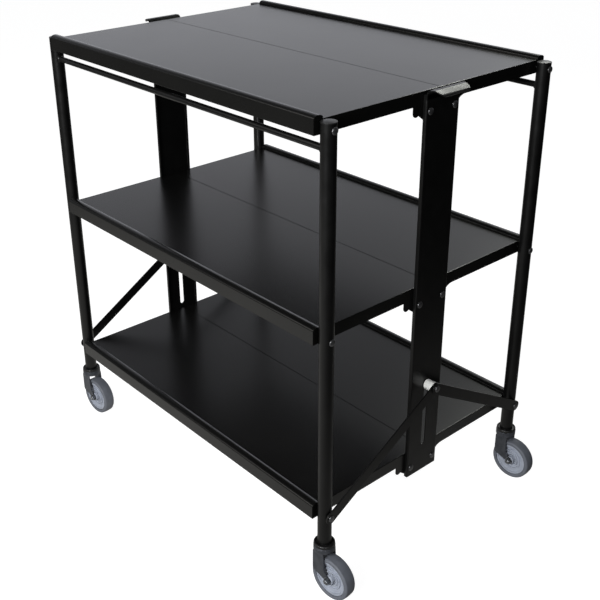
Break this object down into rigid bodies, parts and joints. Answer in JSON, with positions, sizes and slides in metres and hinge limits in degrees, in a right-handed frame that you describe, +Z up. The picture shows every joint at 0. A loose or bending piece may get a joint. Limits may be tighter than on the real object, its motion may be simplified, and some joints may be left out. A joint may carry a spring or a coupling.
{
  "type": "folding utility trolley",
  "caption": "Black steel folding utility trolley with flat shelves that hinge up at the middle, round corner posts and swivel casters.",
  "frame": {"origin": "middle of the overall box's footprint, on the floor", "axes": "+X along the long side, the way the wheels trail; +Y across, from the near frame to the far frame; +Z up"},
  "size_m": [0.9366, 0.6047, 0.941],
  "materials": {
    "frame_paint": "semi-gloss black powder coat",
    "shelf_paint": "semi-gloss black powder coat",
    "cap_plastic": "matte",
    "black_steel": "satin black",
    "zinc_steel": "zinc plated",
    "fork_steel": "dark zinc plated",
    "hub_plastic": "moulded",
    "tyre_rubber": "matte grey",
    "nylon": "smooth white"
  },
  "bodies": {
    "near_frame": {"post_near_left": "frame_paint", "post_near_right": "frame_paint", "post_cap_near_left": "cap_plastic", "post_cap_near_right": "cap_plastic", "top_rail_near": "frame_paint", "caster_stem_near_left": "cap_plastic", "caster_stem_near_right": "cap_plastic", "pivot_screw_top_near_left": "black_steel", "pivot_screw_top_near_right": "black_steel", "pivot_screw_middle_near_left": "black_steel", "pivot_screw_middle_near_right": "black_steel", "pivot_screw_bottom_near_left": "black_steel", "pivot_screw_bottom_near_right": "black_steel"},
    "near_top_half": {"top_shelf_near_half": "shelf_paint"},
    "near_middle_half": {"middle_shelf_near_half": "shelf_paint"},
    "near_bottom_half": {"bottom_shelf_near_half": "shelf_paint"},
    "far_frame": {"post_far_left": "frame_paint", "post_far_right": "frame_paint", "post_cap_far_left": "cap_plastic", "post_cap_far_right": "cap_plastic", "top_rail_far": "frame_paint", "caster_stem_far_left": "cap_plastic", "caster_stem_far_right": "cap_plastic", "pivot_screw_top_far_left": "black_steel", "pivot_screw_top_far_right": "black_steel", "pivot_screw_middle_far_left": "black_steel", "pivot_screw_middle_far_right": "black_steel", "pivot_screw_bottom_far_left": "black_steel", "pivot_screw_bottom_far_right": "black_steel"},
    "far_top_half": {"top_shelf_far_half": "shelf_paint"},
    "far_middle_half": {"middle_shelf_far_half": "shelf_paint"},
    "far_bottom_half": {"bottom_shelf_far_half": "shelf_paint"},
    "centre_plates": {"centre_plate_left": "frame_paint", "centre_plate_right": "frame_paint"},
    "slot_pin_body_left": {"slot_pin_left": "zinc_steel"},
    "roller_body_left": {"roller_left": "nylon"},
    "near_link_left": {"link_near_left": "frame_paint"},
    "caster_near_left": {"caster_fork_near_left": "fork_steel", "caster_axle_near_left": "zinc_steel"},
    "wheel_near_left": {"caster_hub_near_left": "hub_plastic", "caster_tyre_near_left": "tyre_rubber"},
    "far_link_left": {"link_far_left": "frame_paint"},
    "caster_far_left": {"caster_fork_far_left": "fork_steel", "caster_axle_far_left": "zinc_steel"},
    "wheel_far_left": {"caster_hub_far_left": "hub_plastic", "caster_tyre_far_left": "tyre_rubber"},
    "slot_pin_body_right": {"slot_pin_right": "zinc_steel"},
    "roller_body_right": {"roller_right": "nylon"},
    "near_link_right": {"link_near_right": "frame_paint"},
    "caster_near_right": {"caster_fork_near_right": "fork_steel", "caster_axle_near_right": "zinc_steel"},
    "wheel_near_right": {"caster_hub_near_right": "hub_plastic", "caster_tyre_near_right": "tyre_rubber"},
    "far_link_right": {"link_far_right": "frame_paint"},
    "caster_far_right": {"caster_fork_far_right": "fork_steel", "caster_axle_far_right": "zinc_steel"},
    "wheel_far_right": {"caster_hub_far_right": "hub_plastic", "caster_tyre_far_right": "tyre_rubber"}
  },
  "joints": [
    {"name": "fold", "type": "hinge", "parent": "near_frame", "child": "near_top_half", "pos_m": [-0.02277, -0.27821, 0.92], "axis": [1, 0, 0], "range_deg": [0, 85]},
    {"name": "near_middle_fold", "type": "hinge", "parent": "near_frame", "child": "near_middle_half", "pos_m": [-0.02277, -0.27821, 0.5495], "axis": [1, 0, 0], "range_deg": [0, 85]},
    {"name": "near_bottom_fold", "type": "hinge", "parent": "near_frame", "child": "near_bottom_half", "pos_m": [-0.02277, -0.27821, 0.179], "axis": [1, 0, 0], "range_deg": [0, 85]},
    {"name": "near_plate_pivot", "type": "hinge", "parent": "near_top_half", "child": "centre_plates", "pos_m": [-0.02277, -0.03271, 0.8975], "axis": [1, 0, 0], "range_deg": [-85, 0]},
    {"name": "far_plate_pivot", "type": "hinge", "parent": "centre_plates", "child": "far_top_half", "pos_m": [-0.02277, 0.03129, 0.8975], "axis": [1, 0, 0], "range_deg": [-85, 0]},
    {"name": "far_post_pivot", "type": "hinge", "parent": "far_top_half", "child": "far_frame", "pos_m": [-0.02277, 0.27679, 0.92], "axis": [1, 0, 0], "range_deg": [0, 85]},
    {"name": "far_middle_fold", "type": "hinge", "parent": "far_frame", "child": "far_middle_half", "pos_m": [-0.02277, 0.27679, 0.5495], "axis": [1, 0, 0], "range_deg": [-85, 0]},
    {"name": "far_bottom_fold", "type": "hinge", "parent": "far_frame", "child": "far_bottom_half", "pos_m": [-0.02277, 0.27679, 0.179], "axis": [1, 0, 0], "range_deg": [-85, 0]},
    {"name": "near_link_left_pivot", "type": "hinge", "parent": "near_frame", "child": "near_link_left", "pos_m": [-0.44377, -0.27821, 0.179], "axis": [1, 0, 0], "range_deg": [0, 45.82]},
    {"name": "near_link_right_pivot", "type": "hinge", "parent": "near_frame", "child": "near_link_right", "pos_m": [0.39823, -0.27821, 0.179], "axis": [1, 0, 0], "range_deg": [0, 45.82]},
    {"name": "far_link_left_pivot", "type": "hinge", "parent": "far_frame", "child": "far_link_left", "pos_m": [-0.44377, 0.27679, 0.179], "axis": [1, 0, 0], "range_deg": [-45.82, 0]},
    {"name": "far_link_right_pivot", "type": "hinge", "parent": "far_frame", "child": "far_link_right", "pos_m": [0.39823, 0.27679, 0.179], "axis": [1, 0, 0], "range_deg": [-45.82, 0]},
    {"name": "slot_pin_left_slide", "type": "slide", "parent": "centre_plates", "child": "slot_pin_body_left", "axis": [0, 0, 1], "range_m": [-0.11581, 0]},
    {"name": "roller_left_spin", "type": "hinge", "parent": "slot_pin_body_left", "child": "roller_body_left", "pos_m": [-0.44377, -0.00071, 0.343], "axis": [1, 0, 0], "continuous": true},
    {"name": "slot_pin_right_slide", "type": "slide", "parent": "centre_plates", "child": "slot_pin_body_right", "axis": [0, 0, 1], "range_m": [-0.11581, 0]},
    {"name": "roller_right_spin", "type": "hinge", "parent": "slot_pin_body_right", "child": "roller_body_right", "pos_m": [0.39823, -0.00071, 0.343], "axis": [1, 0, 0], "continuous": true},
    {"name": "caster_near_left_swivel", "type": "hinge", "parent": "near_frame", "child": "caster_near_left", "pos_m": [-0.44377, -0.27821, 0], "axis": [0, 0, 1], "continuous": true},
    {"name": "wheel_near_left_spin", "type": "hinge", "parent": "caster_near_left", "child": "wheel_near_left", "pos_m": [-0.41933, -0.2765, 0.045], "axis": [-0.0698, 0.9976, 0], "continuous": true},
    {"name": "caster_near_right_swivel", "type": "hinge", "parent": "near_frame", "child": "caster_near_right", "pos_m": [0.39823, -0.27821, 0], "axis": [0, 0, 1], "continuous": true},
    {"name": "wheel_near_right_spin", "type": "hinge", "parent": "caster_near_right", "child": "wheel_near_right", "pos_m": [0.42267, -0.2765, 0.045], "axis": [-0.0698, 0.9976, 0], "continuous": true},
    {"name": "caster_far_left_swivel", "type": "hinge", "parent": "far_frame", "child": "caster_far_left", "pos_m": [-0.44377, 0.27679, 0], "axis": [0, 0, 1], "continuous": true},
    {"name": "wheel_far_left_spin", "type": "hinge", "parent": "caster_far_left", "child": "wheel_far_left", "pos_m": [-0.41933, 0.2785, 0.045], "axis": [-0.0698, 0.9976, 0], "continuous": true},
    {"name": "caster_far_right_swivel", "type": "hinge", "parent": "far_frame", "child": "caster_far_right", "pos_m": [0.39823, 0.27679, 0], "axis": [0, 0, 1], "continuous": true},
    {"name": "wheel_far_right_spin", "type": "hinge", "parent": "caster_far_right", "child": "wheel_far_right", "pos_m": [0.42267, 0.2785, 0.045], "axis": [-0.0698, 0.9976, 0], "continuous": true}
  ],
  "couplings": [
    {"joint": "near_middle_fold", "follows": "fold", "ratio": 1},
    {"joint": "near_bottom_fold", "follows": "fold", "ratio": 1},
    {"joint": "near_plate_pivot", "follows": "fold", "ratio": -1},
    {"joint": "far_plate_pivot", "follows": "fold", "ratio": -1},
    {"joint": "far_post_pivot", "follows": "fold", "ratio": 1},
    {"joint": "far_middle_fold", "follows": "fold", "ratio": -1},
    {"joint": "far_bottom_fold", "follows": "fold", "ratio": -1},
    {"joint": "near_link_left_pivot", "follows": "fold", "ratio": 0.53899},
    {"joint": "near_link_right_pivot", "follows": "fold", "ratio": 0.53899},
    {"joint": "far_link_left_pivot", "follows": "fold", "ratio": -0.53899},
    {"joint": "far_link_right_pivot", "follows": "fold", "ratio": -0.53899},
    {"joint": "slot_pin_left_slide", "follows": "fold", "m_per_rad": -0.078062},
    {"joint": "slot_pin_right_slide", "follows": "fold", "m_per_rad": -0.078062}
  ]
}
